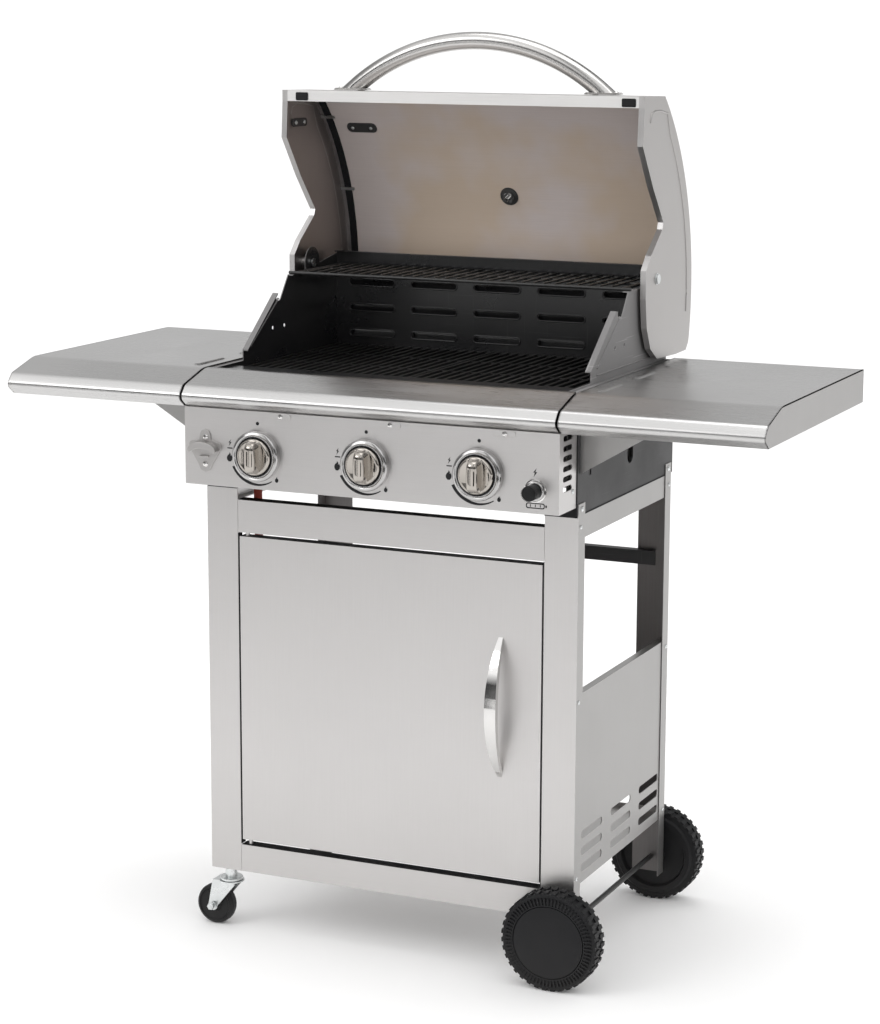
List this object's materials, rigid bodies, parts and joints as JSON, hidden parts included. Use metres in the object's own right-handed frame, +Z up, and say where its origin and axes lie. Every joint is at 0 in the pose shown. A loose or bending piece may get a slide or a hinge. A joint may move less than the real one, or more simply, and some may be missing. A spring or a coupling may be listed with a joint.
{
  "type": "gas barbecue grill",
  "caption": "Stainless gas barbecue grill on a wheeled cabinet cart, with an open hinged lid, folded-steel side shelves, control knobs, cooking grates and a warming rack.",
  "frame": {"origin": "on the ground, midway across the shelves and midway through the depth (within a centimetre)", "axes": "+X to the user's right, +Y to the back, +Z up"},
  "size_m": [1.2, 0.5803, 1.376],
  "materials": {
    "stainless": "brushed stainless sheet, fine straight grain",
    "chrome": "bright polished",
    "grey_enamel": "dark grey satin heat-proof paint",
    "black_enamel": "black semi-gloss enamel",
    "burner_steel": "dull steel with heat tint",
    "zinc": "bright zinc plating",
    "black_plastic": "black moulded plastic",
    "dark_steel": "blackened steel rod",
    "brass": "turned brass",
    "hose_rubber": "orange-red gas hose rubber"
  },
  "bodies": {
    "frame": {"axle": "dark_steel", "base_shelf": "stainless", "body_panel_left": "grey_enamel", "body_panel_right": "grey_enamel", "bottle_opener": "stainless", "bowl_back": "black_enamel", "bowl_floor": "black_enamel", "bowl_front": "black_enamel", "bowl_side_left": "grey_enamel", "bowl_side_right": "grey_enamel", "burners": "burner_steel", "caster_stem_front": "zinc", "caster_stem_rear": "zinc", "control_panel": "stainless", "flame_tamers": "black_enamel", "front_rail_lower": "stainless", "front_rail_upper": "stainless", "front_trim": "stainless", "gas_hose": "hose_rubber", "gas_manifold": "brass", "grate_left": "black_enamel", "grate_right": "black_enamel", "igniter_body": "black_plastic", "leg_front_left": "stainless", "leg_front_right": "stainless", "leg_rear_left": "stainless", "leg_rear_right": "stainless", "panel_bezels": "chrome", "rear_crossbar": "stainless", "regulator": "brass", "shelf_gussets": "stainless", "shelf_left": "stainless", "shelf_right": "stainless", "side_panel_left": "stainless", "side_panel_right": "stainless", "side_rail_left": "stainless", "side_rail_right": "stainless", "warming_rack": "black_enamel"},
    "lid": {"lid_skin": "stainless", "lid_cap_left": "stainless", "lid_cap_right": "stainless", "lid_handle": "stainless", "thermometer": "chrome", "lid_hinge_bolts": "zinc"},
    "door": {"door_panel": "stainless", "door_handle": "chrome"},
    "tray": {"drip_tray": "burner_steel"},
    "igniter": {"igniter_button": "black_plastic"},
    "front_wheel": {"wheel_front": "black_plastic"},
    "rear_wheel": {"wheel_rear": "black_plastic"},
    "caster_front_swivel": {"caster_fork_front": "zinc"},
    "caster_front_roller": {"caster_wheel_front": "black_plastic"},
    "caster_rear_swivel": {"caster_fork_rear": "zinc"},
    "caster_rear_roller": {"caster_wheel_rear": "black_plastic"},
    "stem_1": {"valve_stem_1": "brass"},
    "knob_1": {"knob_1": "chrome"},
    "stem_2": {"valve_stem_2": "brass"},
    "knob_2": {"knob_2": "chrome"},
    "stem_3": {"valve_stem_3": "brass"},
    "knob_3": {"knob_3": "chrome"}
  },
  "joints": [
    {"name": "lid_hinge", "type": "hinge", "parent": "frame", "child": "lid", "pos_m": [0, 0.121, 1.01], "axis": [1, 0, 0], "range_deg": [0, 103]},
    {"name": "door_hinge", "type": "hinge", "parent": "frame", "child": "door", "pos_m": [-0.236, -0.191, 0.386], "axis": [0, 0, -1], "range_deg": [0, 110]},
    {"name": "tray_slide", "type": "slide", "parent": "frame", "child": "tray", "axis": [0, 1, 0], "range_m": [0, 0.26]},
    {"name": "igniter_push", "type": "slide", "parent": "frame", "child": "igniter", "axis": [0, 1, 0], "range_m": [0, 0.005], "stiffness_N_per_m": 400, "springref_m": -0.002},
    {"name": "front_wheel_spin", "type": "hinge", "parent": "frame", "child": "front_wheel", "pos_m": [0.281, -0.225, 0.075], "axis": [0, 1, 0], "continuous": true},
    {"name": "rear_wheel_spin", "type": "hinge", "parent": "frame", "child": "rear_wheel", "pos_m": [0.281, 0.225, 0.075], "axis": [0, 1, 0], "continuous": true},
    {"name": "caster_front_swivel", "type": "hinge", "parent": "frame", "child": "caster_front_swivel", "pos_m": [-0.276, -0.182, 0.074], "axis": [0, 0, 1], "continuous": true},
    {"name": "caster_front_spin", "type": "hinge", "parent": "caster_front_swivel", "child": "caster_front_roller", "pos_m": [-0.302, -0.182, 0.0315], "axis": [0, 1, 0], "continuous": true},
    {"name": "caster_rear_swivel", "type": "hinge", "parent": "frame", "child": "caster_rear_swivel", "pos_m": [-0.276, 0.182, 0.074], "axis": [0, 0, 1], "continuous": true},
    {"name": "caster_rear_spin", "type": "hinge", "parent": "caster_rear_swivel", "child": "caster_rear_roller", "pos_m": [-0.302, 0.182, 0.0315], "axis": [0, 1, 0], "continuous": true},
    {"name": "knob_1_push", "type": "slide", "parent": "frame", "child": "stem_1", "axis": [0, 1, 0], "range_m": [0, 0.0035], "stiffness_N_per_m": 900, "springref_m": -0.002},
    {"name": "knob_1_turn", "type": "hinge", "parent": "stem_1", "child": "knob_1", "pos_m": [-0.177, -0.267, 0.764], "axis": [0, -1, 0], "range_deg": [0, 225]},
    {"name": "knob_2_push", "type": "slide", "parent": "frame", "child": "stem_2", "axis": [0, 1, 0], "range_m": [0, 0.0035], "stiffness_N_per_m": 900, "springref_m": -0.002},
    {"name": "knob_2_turn", "type": "hinge", "parent": "stem_2", "child": "knob_2", "pos_m": [0, -0.267, 0.764], "axis": [0, -1, 0], "range_deg": [0, 225]},
    {"name": "knob_3_push", "type": "slide", "parent": "frame", "child": "stem_3", "axis": [0, 1, 0], "range_m": [0, 0.0035], "stiffness_N_per_m": 900, "springref_m": -0.002},
    {"name": "knob_3_turn", "type": "hinge", "parent": "stem_3", "child": "knob_3", "pos_m": [0.177, -0.267, 0.764], "axis": [0, -1, 0], "range_deg": [0, 225]}
  ]
}
